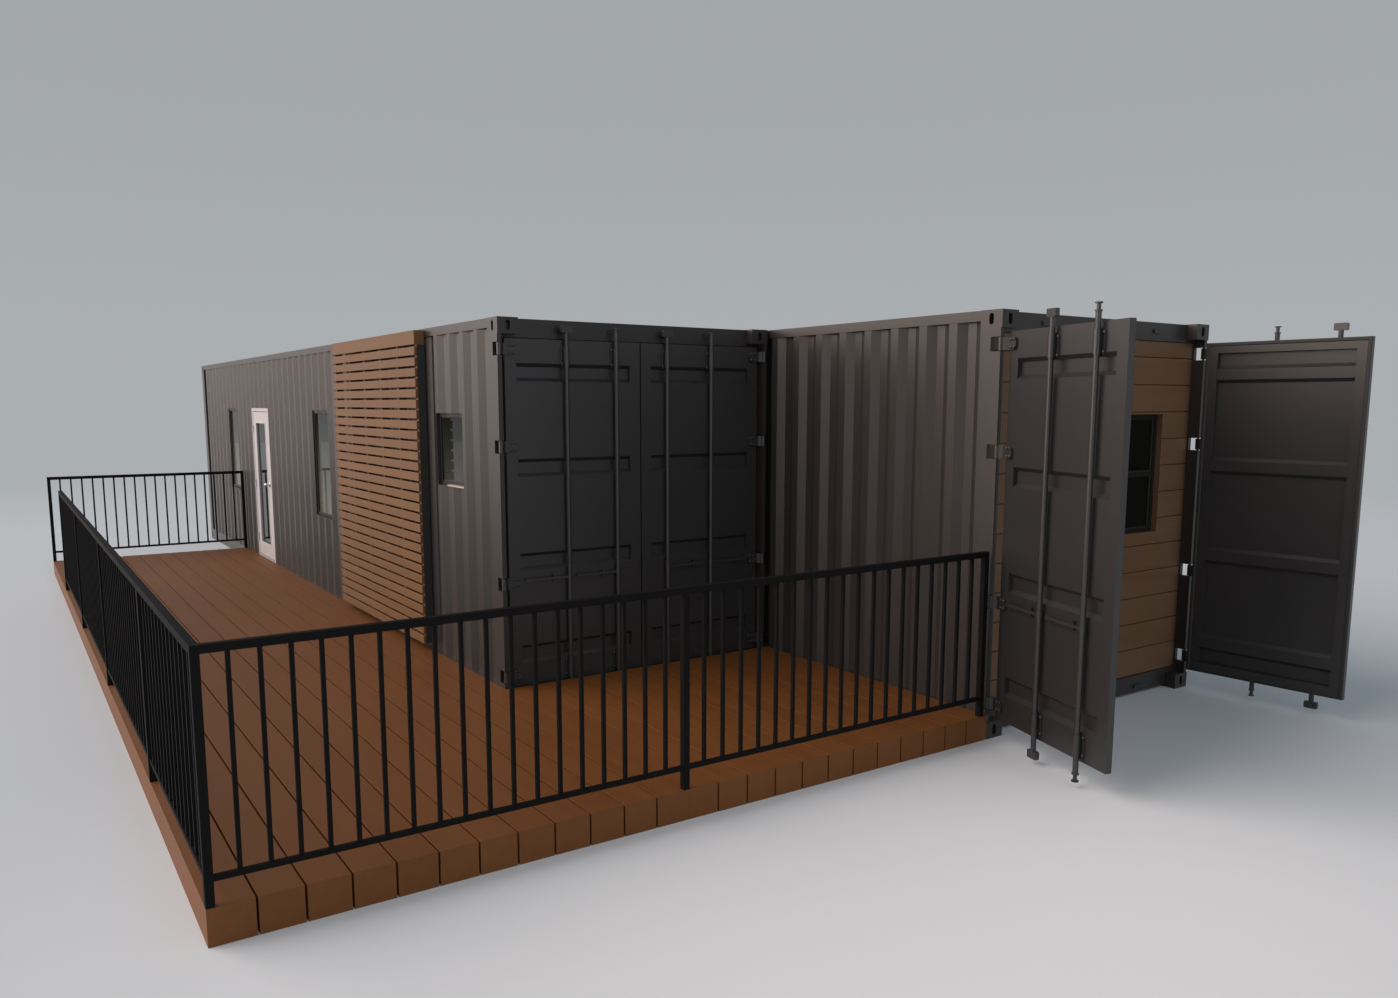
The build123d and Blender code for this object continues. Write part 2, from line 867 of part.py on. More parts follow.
with BuildPart() as main_bars:
    for side, hand, opening, catch_reach in cargo_doors:
        for number, setback in enumerate(bar_setbacks):
            hooked = (number == 0) == (hand > 0)
            locking_bar(cargo_plane(main_left, main_front, hand, 0), hand, setback, hooked)
save(main_bars.part, "main_locking_bars")

# Cargo doors of the annex, standing open, each with two locking bars that turn
for side, hand, opening, catch_reach in cargo_doors:
    plane = cargo_plane(annex_left, annex_front, hand, opening)
    with BuildPart() as leaf:
        cargo_leaf(plane, hand, catch_reach)
    save(leaf.part, f"annex_{side}_cargo_door")
    for number, (place, setback) in enumerate(zip(("hinge", "free"), bar_setbacks)):
        hooked = (number == 0) == (hand > 0)
        with BuildPart() as bar:
            locking_bar(plane, hand, setback, hooked)
        save(bar.part, f"annex_{side}_{place}_side_bar")

# Slatted screen: battens against the wall's ribs, slats and a fascia board across them
with BuildPart() as screen:
    face = -batten_depth
    first = screen_start + batten_width / 2
    step = (screen_width - batten_width) / (batten_count - 1)
    for batten in range(batten_count):
        y = first + batten * step
        block(
            main_plane,
            (face, 0),
            (y - batten_width / 2, y + batten_width / 2),
            (screen_bottom, screen_top),
        )
    width = (screen_start, screen_start + screen_width)
    block(main_plane, (face - slat_thickness, face), width, (screen_top - fascia_height, screen_top))
    top = screen_top - fascia_height - slat_gap
    while top - slat_height >= screen_bottom - 1:
        block(main_plane, (face - slat_thickness, face), width, (top - slat_height, top))
        top -= slat_height + slat_gap
save(screen.part, "slat_screen")

# Deck: heavy timbers laid side by side on the ground, beside and in front of the main container
deck_left = -deck_width
deck_front = -deck_front_depth
with BuildPart() as side_deck:
    block(main_plane, (deck_left, 0), (deck_front, deck_far_end), (0, deck_height))
save(side_deck.part, "side_deck")

with BuildPart() as front_deck:
    block(
        main_plane,
        (0, container_width + container_gap),
        (deck_front, 0),
        (0, deck_height),
    )
save(front_deck.part, "front_deck")


def railing(plane, posts, balusters_from, end_trim=(0, 0)):
    """A railing along a plane's X axis: posts at the given places, two rails and balusters between."""
    low = posts[0] + end_trim[0]
    high = posts[-1] + end_trim[1]
    half = railing_post / 2
    top = deck_height + railing_height
    low_rail = deck_height + railing_low_rail_height
    for place in balusters_from:
        block(plane, (place - half, place + half), (-half, half), (deck_height, top - railing_rail))
    block(plane, (low, high), (-half, half), (top - railing_rail, top))
    low_half = railing_low_rail / 2
    block(plane, (low, high), (-low_half, low_half), (low_rail, low_rail + railing_low_rail))
    for start, end in zip(posts, posts[1:]):
        count = round((end - start) / baluster_pitch) - 1
        pitch = (end - start) / (count + 1)
        for number in range(1, count + 1):
            place = start + number * pitch
            thick = baluster / 2
            block(
                plane,
                (place - thick, place + thick),
                (-thick, thick),
                (low_rail + railing_low_rail, top - railing_rail),
            )


edge = railing_post / 2
post_left = main_left - deck_width + edge
post_front = main_front - deck_front_depth + edge
front_line = Plane(origin=(0, post_front, 0))
front_last = annex_left - railing_end_gap - edge
front_posts = [post_left, (post_left + front_last) / 2, front_last]
with BuildPart() as front_railing:
    railing(front_line, front_posts, front_posts, end_trim=(-edge, edge))
save(front_railing.part, "front_railing")

side_line = Plane(origin=(post_left, 0, 0), x_dir=(0, 1, 0), z_dir=(0, 0, 1))
side_last = main_front + deck_far_end - railing_post - railing_access - edge
side_posts = [side_last - railing_bay * bay for bay in (3, 2, 1, 0)]
with BuildPart() as side_railing:
    railing(side_line, [post_front] + side_posts, side_posts, end_trim=(edge, edge))
save(side_railing.part, "side_railing")

rear_line = Plane(origin=(0, main_front + deck_far_end - edge, 0))
rear_posts = [post_left, main_left - edge]
with BuildPart() as rear_railing:
    railing(rear_line, rear_posts, rear_posts, end_trim=(-edge, edge))
save(rear_railing.part, "rear_railing")
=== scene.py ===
import json
import math
from itertools import product

import bpy
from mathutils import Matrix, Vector
import numpy as np


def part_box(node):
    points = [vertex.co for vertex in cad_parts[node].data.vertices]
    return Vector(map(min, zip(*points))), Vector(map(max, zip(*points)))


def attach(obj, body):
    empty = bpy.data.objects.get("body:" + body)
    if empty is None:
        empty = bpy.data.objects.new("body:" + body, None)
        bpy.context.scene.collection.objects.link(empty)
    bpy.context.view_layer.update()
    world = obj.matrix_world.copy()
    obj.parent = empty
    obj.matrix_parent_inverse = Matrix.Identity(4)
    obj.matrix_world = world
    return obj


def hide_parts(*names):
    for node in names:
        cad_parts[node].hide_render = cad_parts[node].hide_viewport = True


# The cabin is two steel shipping containers side by side, with a timber deck, railings, a slatted
# screen and cut-in windows. Here each part gets its finish and its small pieces, in building order.
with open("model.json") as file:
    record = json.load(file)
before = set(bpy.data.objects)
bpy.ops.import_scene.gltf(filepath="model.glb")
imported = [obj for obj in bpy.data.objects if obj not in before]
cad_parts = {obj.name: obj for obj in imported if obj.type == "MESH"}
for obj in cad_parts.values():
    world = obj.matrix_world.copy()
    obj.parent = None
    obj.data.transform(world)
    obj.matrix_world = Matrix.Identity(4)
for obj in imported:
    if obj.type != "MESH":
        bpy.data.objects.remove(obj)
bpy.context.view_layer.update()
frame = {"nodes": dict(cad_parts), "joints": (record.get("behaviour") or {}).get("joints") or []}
nodes = frame["nodes"]
scene = bpy.context.scene


# Viewpoint and studio. The eye stands just off the deck's near corner, a little over head height, and
# looks along the deck. The ground is one pale round floor, painted lighter near the deck's front and
# darker outward as a painted pool of light. A warm wide sun on the left, a weaker one in front and an
# even sky light it, and a plain grey backdrop is what eye, metal and glass see beyond it.
photo_width, photo_height = 1398, 998
eye = (-3.1308, -7.0738, 2.2814)
eye_yaw, eye_pitch, eye_roll = 34.253, 7.571, -0.060
focal_pixels = 1035.3
principal = (695.6, 541.3)

camera_data = bpy.data.cameras.new("photo_camera")
camera_data.sensor_width = 36.0
camera_data.lens = focal_pixels / photo_width * camera_data.sensor_width
camera_data.shift_x = (photo_width / 2 - principal[0]) / photo_width
camera_data.shift_y = (principal[1] - photo_height / 2) / photo_width
camera_data.clip_end = 500.0
camera = bpy.data.objects.new("photo_camera", camera_data)
camera.location = eye
camera.rotation_euler = (math.radians(90 - eye_pitch), math.radians(eye_roll), math.radians(-eye_yaw))
scene.collection.objects.link(camera)
scene.camera = camera
scene.view_settings.view_transform = "Standard"


class Wire:
    """One socket of a material, so that shader maths reads as plain expressions."""

    def __init__(self, tree, socket):
        self.tree = tree
        self.socket = socket

    def node(self, kind, settings=None, stops=None, **values):
        """Add a node, set it up, feed its sockets, and return its first output."""
        made = self.tree.nodes.new(kind)
        for name, value in (settings or {}).items():
            setattr(made, name, value)
        if stops:
            ramp = made.color_ramp
            while len(ramp.elements) < len(stops):
                ramp.elements.new(0.5)
            for element, (place, color) in zip(ramp.elements, stops):
                element.position = place
                element.color = (*color, 1.0)
        for name, value in values.items():
            key = int(name[1:]) if name[0] == "i" and name[1:].isdigit() else name
            self.feed(made.inputs[key], value)
        return Wire(self.tree, made.outputs[0])

    def feed(self, socket, value):
        """Link a wire to a socket, or set its value."""
        if isinstance(value, Wire):
            self.tree.links.new(value.socket, socket)
        else:
            socket.default_value = value

    def output(self, name):
        return Wire(self.tree, self.socket.node.outputs[name])

    def math(self, operation, *values, clamp=False):
        sockets = {f"i{number}": value for number, value in enumerate(values)}
        return self.node("ShaderNodeMath", {"operation": operation, "use_clamp": clamp}, **sockets)

    def __add__(self, other):
        return self.math("ADD", self, other)

    def __radd__(self, other):
        return self.math("ADD", other, self)

    def __sub__(self, other):
        return self.math("SUBTRACT", self, other)

    def __rsub__(self, other):
        return self.math("SUBTRACT", other, self)

    def __mul__(self, other):
        return self.math("MULTIPLY", self, other)

    def __rmul__(self, other):
        return self.math("MULTIPLY", other, self)

    def __truediv__(self, other):
        return self.math("DIVIDE", self, other)

    def __gt__(self, other):
        return self.math("GREATER_THAN", self, other)

    def floor(self):
        return self.math("FLOOR", self)

    def clamp(self):
        return self.math("ADD", self, 0.0, clamp=True)

    def smooth(self, low, high):
        """Rises smoothly from 0 at low to 1 at high."""
        settings = {"interpolation_type": "SMOOTHSTEP"}
        return self.node("ShaderNodeMapRange", settings, i0=self, i1=low, i2=high)

    def blend(self, low, high):
        """A colour between two colours, with this wire as the factor."""
        sockets = {
            f"i{number}": (*color, 1.0) if isinstance(color, tuple) else color
            for number, color in ((6, low), (7, high))
        }
        mix = self.node("ShaderNodeMix", {"data_type": "RGBA"}, i0=self, **sockets)
        return mix.output(2)

    def axes(self):
        """The three parts of a vector wire."""
        parts = self.node("ShaderNodeSeparateXYZ", i0=self)
        return parts.output("X"), parts.output("Y"), parts.output("Z")

    def stretched(self, scale):
        """This vector wire, multiplied along each axis."""
        return self.node("ShaderNodeVectorMath", {"operation": "MULTIPLY"}, i0=self, i1=scale)

    def noise(self, scale, detail=3.0, roughness=0.55):
        """Smooth noise over this vector wire, from 0 to 1."""
        return self.node("ShaderNodeTexNoise", Vector=self, Scale=scale, Detail=detail, Roughness=roughness)

    def bump(self, distance, strength=1.0):
        """A normal that follows this wire as a height, distance metres deep."""
        return self.node("ShaderNodeBump", Height=self, Distance=distance, Strength=strength)


def new_material(name, color, roughness, metallic=0.0, shine=0.5):
    """A material with one Principled surface: returns it, its shader node and its place wire.

    shine is how strongly it mirrors at a steep view, with 0.5 as the usual level."""
    material = bpy.data.materials.new(name)
    material.use_nodes = True
    tree = material.node_tree
    shader = tree.nodes["Principled BSDF"]
    place = Wire(tree, tree.nodes.new("ShaderNodeTexCoord").outputs["Object"])
    shader.inputs["Base Color"].default_value = (*color, 1.0)
    shader.inputs["Roughness"].default_value = roughness
    shader.inputs["Metallic"].default_value = metallic
    shader.inputs["Specular IOR Level"].default_value = shine
    return material, shader, place


backdrop_low, backdrop_high = (0.407, 0.429, 0.445), (0.367, 0.387, 0.402)
studio_middle = (1.0, 3.0)
studio_radius, rim_points = 55.0, 96
turns = np.linspace(0.0, 2 * np.pi, rim_points + 1)[:-1]
rim = np.stack(
    [
        studio_middle[0] + studio_radius * np.cos(turns),
        studio_middle[1] + studio_radius * np.sin(turns),
        np.zeros_like(turns),
    ],
    axis=1,
)
floor_mesh = bpy.data.meshes.new("studio_floor")
floor_mesh.from_pydata(rim.tolist(), [], [list(range(len(rim)))])
floor = bpy.data.objects.new("studio_floor", floor_mesh)
scene.collection.objects.link(floor)
# The floor's colour is painted lighter round a point in front of the deck and darker outward: a painted
# pool of light, with painted shade towards its rim.
light_pool_middle, bright_reach, dim_reach = (0.2, -3.8, 0.0), 0.5, 5.5
bright_tone, dim_tone = (0.70, 0.76, 0.81), (0.50, 0.575, 0.64)
haze_start, haze_end = 7.0, 30.0
floor_paint, floor_shader, place = new_material("studio_floor", bright_tone, 0.8)
floor_mesh.materials.append(floor_paint)
off_middle = place.node("ShaderNodeVectorMath", {"operation": "DISTANCE"}, i0=place, i1=light_pool_middle)
painted_light_pool = off_middle.output("Value").smooth(bright_reach, dim_reach).blend(bright_tone, dim_tone)
place.feed(floor_shader.inputs["Base Color"], painted_light_pool)
distance = place.node("ShaderNodeVectorMath", {"operation": "LENGTH"}, i0=place).output("Value")
looked_at = place.node("ShaderNodeLightPath").output("Is Camera Ray")
far_off = distance.smooth(haze_start, haze_end) * looked_at
haze = place.node("ShaderNodeEmission", Color=(*backdrop_low, 1.0), Strength=1.0)
floor_surface = Wire(place.tree, floor_shader.outputs[0])
faded = place.node("ShaderNodeMixShader", i0=far_off, i1=floor_surface, i2=haze)
place.feed(floor_paint.node_tree.nodes["Material Output"].inputs["Surface"], faded)

for label, toward, energy, width, tint in (
    ("left_soft_sun", (-0.80, 0.46, 0.385), 4.3, 76, (1.0, 0.81, 0.71)),
    ("front_soft_sun", (-0.18, -0.90, 0.395), 0.8, 60, (1.0, 0.96, 0.98)),
):
    sun_data = bpy.data.lights.new(label, "SUN")
    sun_data.energy = energy
    sun_data.angle = math.radians(width)
    sun_data.color = tint
    sun = bpy.data.objects.new(label, sun_data)
    sun.rotation_euler = Vector(toward).to_track_quat("Z", "Y").to_euler()
    scene.collection.objects.link(sun)

world = bpy.data.worlds.new("studio_sky")
world.use_nodes = True
scene.world = world
sky = Wire(world.node_tree, world.node_tree.nodes.new("ShaderNodeTexCoord").outputs["Generated"])
sky_light, backdrop_rise = (0.30, 0.31, 0.32), 0.34
backdrop = sky.axes()[2].smooth(0.0, backdrop_rise).blend(backdrop_low, backdrop_high)
rays = sky.node("ShaderNodeLightPath")
shown = rays.output("Is Camera Ray") + rays.output("Is Glossy Ray") + rays.output("Is Transmission Ray")
seen = shown.clamp().blend(sky_light, backdrop)
background = world.node_tree.nodes["Background"]
sky.feed(background.inputs["Color"], seen)
background.inputs["Strength"].default_value = 1.0


# Steel shells. Both containers are welded from folded and corrugated steel and sprayed with one satin
# charcoal paint. Inside, the walls and the roof are lined with pale boards.
paint_color, paint_roughness, roof_roughness = (0.0225, 0.0205, 0.0200), 0.36, 0.40
lining_color, sheet_depth = (0.50, 0.44, 0.36), 0.004


def steel_paint(name, color, roughness, lining=None, shine=0.42):
    """Satin paint with faint clouding and spray texture; lining is (axis, place, side) of a board face.

    Tone = 0.7 * clouds + 0.3 * specks, from 0.82 to 1.2 times the colour."""
    material, shader, place = new_material(name, color, roughness, shine=shine)
    clouds = place.noise(0.55, 4.0)
    specks = place.noise(38.0, 2.0)
    shade = clouds * 0.7 + specks * 0.3
    darker = tuple(part * 0.82 for part in color)
    lighter = tuple(part * 1.20 for part in color)
    paint = shade.blend(darker, lighter)
    rough = shade * 0.14 + (roughness - 0.07)
    if lining:
        axis, limit, side = lining
        part = place.axes()[axis]
        inside = part > limit if side > 0 else 1.0 - (part > limit)
        boards = place.stretched((1.0, 1.0, 0.35)).noise(9.0, 5.0)
        paler = tuple(part * 1.25 for part in lining_color)
        paint = inside.blend(paint, boards.blend(lining_color, paler))
        rough = rough + inside * 0.25
    place.feed(shader.inputs["Base Color"], paint)
    place.feed(shader.inputs["Roughness"], rough)
    place.feed(shader.inputs["Normal"], place.noise(240.0, 1.0).bump(0.0004, 0.35))
    return material


def dress(node_name, material):
    """Give a carried-over CAD node its material."""
    node = nodes[node_name]
    node.data.materials.clear()
    node.data.materials.append(material)


shell_paint = steel_paint("container_paint", paint_color, paint_roughness)
for side in ("main", "annex"):
    for part in ("corner_castings", "corner_posts", "base_frame", "top_frame"):
        dress(f"{side}_{part}", shell_paint)
    roof_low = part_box(f"{side}_roof")[0].z
    lining = (2, roof_low + sheet_depth, -1)
    roof_paint = steel_paint(f"{side}_roof_paint", paint_color, roof_roughness, lining)
    dress(f"{side}_roof", roof_paint)
    rear_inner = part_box(f"{side}_rear_wall")[0].y
    lining = (1, rear_inner + sheet_depth, -1)
    rear_paint = steel_paint(f"{side}_rear_paint", paint_color, paint_roughness, lining)
    dress(f"{side}_rear_wall", rear_paint)

left_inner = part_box("main_left_wall_rear")[1].x
lining = (0, left_inner - sheet_depth, 1)
left_paint = steel_paint("main_left_paint", paint_color, paint_roughness, lining)
for part in ("front", "over_door", "rear"):
    dress(f"main_left_wall_{part}", left_paint)
annex_left_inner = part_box("annex_left_wall")[1].x
lining = (0, annex_left_inner - sheet_depth, 1)
annex_left_paint = steel_paint("annex_left_paint", paint_color, paint_roughness, lining)
dress("annex_left_wall", annex_left_paint)
for side in ("main", "annex"):
    right_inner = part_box(f"{side}_right_wall")[0].x
    lining = (0, right_inner + sheet_depth, -1)
    right_paint = steel_paint(f"{side}_right_paint", paint_color, paint_roughness, lining)
    dress(f"{side}_right_wall", right_paint)


# Floors. Plywood sheets on the cross beams, sealed with a clear satin varnish, with a joint between the
# sheets every 1.22 metres.
floor_material, floor_shader, place = new_material("floor_boards", (0.30, 0.19, 0.11), 0.42)
sheet_length = 1.22
sheet = (place.axes()[1] / sheet_length).floor()
tone = sheet.node("ShaderNodeTexWhiteNoise", {"noise_dimensions": "1D"}, W=sheet)
grain = place.stretched((14.0, 0.9, 1.0)).noise(1.6, 6.0)
place.feed(
    floor_shader.inputs["Base Color"],
    (grain * 0.6 + tone * 0.4).blend((0.20, 0.12, 0.065), (0.38, 0.25, 0.15)),
)
place.feed(floor_shader.inputs["Roughness"], grain * 0.2 + 0.35)
place.feed(floor_shader.inputs["Normal"], grain.bump(0.0006, 0.4))
for side in ("main", "annex"):
    dress(f"{side}_floor", floor_material)


# Cargo doors. Pressed steel leaves hung on forged blades, with black rubber lips round their edges. Each
# carries two steel tube bars in sleeves, bolted on with dome-headed bolts.
def new_piece(name, points, faces, material, body, smooth=False):
    """A piece from its points, of any array shape, and its faces, riding on a body."""
    mesh = bpy.data.meshes.new(name)
    mesh.from_pydata(np.asarray(points, float).reshape(-1, 3).tolist(), [], faces)
    mesh.update()
    if smooth:
        mesh.polygons.foreach_set("use_smooth", np.ones(len(mesh.polygons), bool))
    mesh.materials.append(material)
    piece = bpy.data.objects.new(name, mesh)
    scene.collection.objects.link(piece)
    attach(piece, body)
    return piece


def tube_faces(count, rings, sides, closed_path=False):
    """Faces of count tubes, each of rings times sides points: quads all round, and an end cap each side."""
    ring = np.arange(rings if closed_path else rings - 1)[:, None]
    side = np.arange(sides)[None, :]
    after = (side + 1) % sides
    following = (ring + 1) % rings
    near, far = ring * sides, following * sides
    quads = np.stack([near + side, near + after, far + after, far + side], axis=-1).reshape(-1, 4)
    starts = np.arange(count)[:, None, None] * rings * sides
    faces = (starts + quads[None]).reshape(-1, 4).tolist()
    if not closed_path:
        starts = np.arange(count)[:, None] * rings * sides
        faces += (starts + np.arange(sides)[::-1][None]).tolist()
        faces += (starts + (rings - 1) * sides + np.arange(sides)[None]).tolist()
    return faces


def turned(places, axis, profile, sides):
    """Turned shapes: each profile point (radius, height) goes round the axis, at every place.

    Point(k, t) = place + axis * height(k) + radius(k) * (cos t * first + sin t * second)."""
    axis = np.asarray(axis, float) / np.linalg.norm(axis)
    helper = np.array([0.0, 0.0, 1.0]) if abs(axis[2]) < 0.9 else np.array([1.0, 0.0, 0.0])
    first = np.cross(axis, helper)
    first /= np.linalg.norm(first)
    second = np.cross(axis, first)
    places = np.asarray(places, float).reshape(-1, 1, 1, 3)
    radius, height = np.asarray(profile, float).T
    turn = np.linspace(0.0, 2 * np.pi, sides + 1)[:-1]
    spokes = np.cos(turn)[:, None] * first + np.sin(turn)[:, None] * second
    points = places + (height[:, None] * axis)[:, None, :] + radius[:, None, None] * spokes[None]
    return points, tube_faces(len(places), len(radius), sides)


def lips(corner, along, across, outward, spans, section):
    """A section carried round a rectangle with mitred corners; section points are (inset, height).

    Corner (i, j) of ring k = corner + along * i + across * j, moved inwards by inset(k)."""
    inset, height = np.asarray(section, float).T
    along, across, outward = (np.asarray(part, float) for part in (along, across, outward))
    u = np.stack([inset, spans[0] - inset, spans[0] - inset, inset])
    v = np.stack([inset, inset, spans[1] - inset, spans[1] - inset])
    points = (
        np.asarray(corner, float)
        + u[..., None] * along
        + v[..., None] * across
        + height[None, :, None] * outward
    )
    return points, tube_faces(1, 4, len(section), closed_path=True)


dome_bolt, bolt_sides = [(0.011, 0.0), (0.011, 0.003), (0.0085, 0.0065), (0.004, 0.008)], 10
leaf_depth, leaf_thickness, leaf_start = 0.035, 0.040, 0.055
blade_heights, blade_proud = (0.257, 0.957, 1.968, 2.672), 0.015
blade_bolt_reaches, blade_bolt_rise = (0.085, 0.118), 0.026
sleeve_heights, sleeve_proud = (0.262, 2.630), 0.008
sleeve_bolt_off, sleeve_bolt_rise = 0.028, 0.055
gasket = [(0.0, 0.0), (0.0025, 0.0045), (0.006, 0.006), (0.022, 0.006), (0.027, 0.0)]
leaf_low, leaf_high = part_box("main_left_cargo_door")
shift = np.array(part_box("annex_corner_castings")[0]) - np.array(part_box("main_corner_castings")[0])

door_paint = steel_paint("cargo_door_paint", (0.0205, 0.0206, 0.0218), 0.36, shine=0.55)
bar_paint = steel_paint("locking_bar_paint", (0.027, 0.026, 0.0265), 0.34, shine=0.5)
rubber, rubber_shader, place = new_material("door_rubber", (0.012, 0.012, 0.012), 0.65)
ribs = place.noise(60.0, 2.0)
place.feed(rubber_shader.inputs["Base Color"], ribs.blend((0.008, 0.008, 0.008), (0.018, 0.018, 0.018)))
place.feed(rubber_shader.inputs["Normal"], ribs.bump(0.0006, 0.5))

pivots = {joint["name"]: np.array([*joint["pos_m"][:2], 0.0]) for joint in frame["joints"]}
leaf_end = leaf_high.x - (pivots["annex_left_door_hinge"] - shift)[0]
leaf_span = (leaf_end - leaf_start, leaf_high.z - leaf_low.z)
upward = np.array([0.0, 0.0, 1.0])
for side, hand in (("left", 1.0), ("right", -1.0)):
    hinge = pivots[f"annex_{side}_door_hinge"]
    hinge_bar = pivots[f"annex_{side}_hinge_bar_turn"]
    free_bar = pivots[f"annex_{side}_free_bar_turn"]
    open_along = (free_bar - hinge_bar) / np.linalg.norm(free_bar - hinge_bar)
    setbacks = [float(open_along @ (bar - hinge)) for bar in (hinge_bar, free_bar)]
    for shell, pin, along, body in (
        ("main", hinge - shift, np.array([hand, 0.0, 0.0]), "cabin"),
        ("annex", hinge, open_along, f"annex_{side}_door"),
    ):
        inward = hand * np.cross(upward, along)
        face = np.array([pin[0], pin[1], 0.0]) + inward * leaf_depth
        dress(f"{shell}_{side}_cargo_door", door_paint)

        corner = face + along * leaf_start + upward * leaf_low.z + inward * leaf_thickness
        section = gasket if hand > 0 else gasket[::-1]
        points, faces = lips(corner, along, upward, inward, leaf_span, section)
        new_piece(f"{shell}_{side}_door_gasket", points, faces, rubber, body)

        heads = []
        for z, reach, sign in product(blade_heights, blade_bolt_reaches, (-1, 1)):
            height = z + sign * blade_bolt_rise
            heads.append(face + along * reach - inward * blade_proud + upward * height)
        for setback, z, rise, sign in product(setbacks, sleeve_heights, (-1, 1), (-1, 1)):
            reach = setback + sign * sleeve_bolt_off
            height = z + rise * sleeve_bolt_rise
            heads.append(face + along * reach - inward * sleeve_proud + upward * height)
        points, faces = turned(heads, -inward, dome_bolt, bolt_sides)
        name = f"{shell}_{side}_door_bolts"
        new_piece(name, points, faces, door_paint, body, smooth=True)

dress("main_locking_bars", bar_paint)
for side in ("left", "right"):
    for edge in ("hinge", "free"):
        dress(f"annex_{side}_{edge}_side_bar", bar_paint)


# End walls. Horizontal shiplap boards of oiled softwood behind the cargo doors, each with eased edges, so
# that a dark groove runs between them. The annex's wall is cut round its window.
def bars(boxes, axis, ease):
    """Bars along one axis: a rectangle with quarter-round corners, drawn in a little at both ends.

    Section point = sign * (half - ease) + radius * (cos t, sin t), t over each corner's quarter turn."""
    boxes = np.asarray(boxes, float).reshape(-1, 2, 3)
    second, third = (axis + 1) % 3, (axis + 2) % 3
    low, high = boxes[:, 0], boxes[:, 1]
    turn = (np.arange(4)[:, None] * np.pi / 2 + np.linspace(0.0, np.pi / 2, 3)[None]).ravel()
    corner = np.repeat(np.arange(4) * np.pi / 2 + np.pi / 4, 3)
    signs = np.sign(np.stack([np.cos(corner), np.sin(corner)], axis=1))
    ends = np.array([0.0, 1.0, -1.0, 0.0])
    radius = np.array([0.35, 1.0, 1.0, 0.35]) * ease
    points = np.empty((len(boxes), 4, 12, 3))
    for column, part, spread in ((0, second, np.cos(turn)), (1, third, np.sin(turn))):
        middle = (low[:, part] + high[:, part]) / 2
        half = (high[:, part] - low[:, part]) / 2 - ease
        points[..., part] = (
            middle[:, None, None]
            + half[:, None, None] * signs[None, None, :, column]
            + radius[None, :, None] * spread[None, None, :]
        )
    start = np.stack([low[:, axis], low[:, axis], high[:, axis], high[:, axis]], axis=1)
    points[..., axis] = (start + ends[None] * ease)[..., None]
    return points, tube_faces(len(boxes), 4, 12)


def timber(name, tones, axis, pitch, across, start, roughness=0.5):
    """Planed timber with its grain along an axis, and a tone of its own for each board of a pitch.

    tones is (dark, middle, light); the boards are counted from start on the axis across. Tone = grain +
    fibre + the board's own tone + clouds, each about its middle and times its share."""
    dark, middle, light = tones
    material, shader, place = new_material(name, middle, roughness, shine=0.3)
    count = ((place.axes()[across] - start) / pitch).floor()
    tone = count.node("ShaderNodeTexWhiteNoise", {"noise_dimensions": "1D"}, W=count)
    stretch = [17.0, 17.0, 17.0]
    stretch[axis] = 0.8
    drift = count.node("ShaderNodeCombineXYZ", i0=count * 3.7, i1=count * 1.9, i2=count * 2.3)
    drawn_out = place.stretched(tuple(stretch))
    lines = place.node("ShaderNodeVectorMath", {"operation": "ADD"}, i0=drawn_out, i1=drift)
    grain = lines.noise(1.0, 6.0, 0.62)
    fibre = lines.noise(7.0, 2.0)
    cloud = place.noise(0.9, 3.0)
    shade = (grain - 0.5) * 1.1 + (fibre - 0.5) * 0.35 + (tone - 0.5) * 0.2 + (cloud - 0.5) * 0.5 + 0.5
    wood = shade.node(
        "ShaderNodeValToRGB", stops=[(0.0, dark), (0.5, middle), (1.0, light)], i0=shade.clamp()
    )
    place.feed(shader.inputs["Base Color"], wood)
    place.feed(shader.inputs["Roughness"], grain * 0.22 + (roughness - 0.08))
    place.feed(shader.inputs["Normal"], (grain * 0.7 + fibre * 0.3).bump(0.0012, 0.35))
    return material


board_pitch, board_joint, board_face, board_ease = 0.206, 0.006, 0.020, 0.0022
first_joint, joint_count = 0.162, 14
least_board, least_rest, core_in = 0.03, 0.01, 0.079
cladding = timber(
    "cladding_timber",
    ((0.090, 0.048, 0.023), (0.116, 0.065, 0.033), (0.142, 0.083, 0.045)),
    0,
    board_pitch,
    2,
    first_joint,
)
window_low, window_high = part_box("annex_window_frame")
for shell, hole in (("main", None), ("annex", (window_low, window_high))):
    low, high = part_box(f"{shell}_end_wall")
    joints_at = first_joint + board_pitch * np.arange(joint_count)
    kept = (joints_at > low.z + least_board) & (joints_at < high.z - least_board)
    edges = np.concatenate([[low.z], joints_at[kept], [high.z]])
    boards = []
    for bottom, top in zip(edges[:-1], edges[1:]):
        rows = [(low.x, high.x, bottom + board_joint / 2, top - board_joint / 2)]
        if hole and top > hole[0].z and bottom < hole[1].z:
            rows = [(low.x, hole[0].x, *rows[0][2:]), (hole[1].x, high.x, *rows[0][2:])]
            if bottom < hole[0].z - least_rest:
                rows.append((hole[0].x, hole[1].x, bottom + board_joint / 2, hole[0].z))
            if top > hole[1].z + least_rest:
                rows.append((hole[0].x, hole[1].x, hole[1].z, top - board_joint / 2))
        boards += [((x0, low.y, z0), (x1, low.y + board_face, z1)) for x0, x1, z0, z1 in rows]
    backs = [(low.x + core_in, high.x - core_in, low.z, high.z)]
    if hole:
        backs = [
            (low.x + core_in, hole[0].x, low.z, high.z),
            (hole[1].x, high.x - core_in, low.z, high.z),
            (hole[0].x, hole[1].x, low.z, hole[0].z),
            (hole[0].x, hole[1].x, hole[1].z, high.z),
        ]
    boards += [((x0, low.y + board_face, z0), (x1, high.y, z1)) for x0, x1, z0, z1 in backs]
    points, faces = bars(boards, 0, board_ease)
    wall = new_piece(f"{shell}_end_boards", points, faces, cladding, "cabin")
    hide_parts(f"{shell}_end_wall")
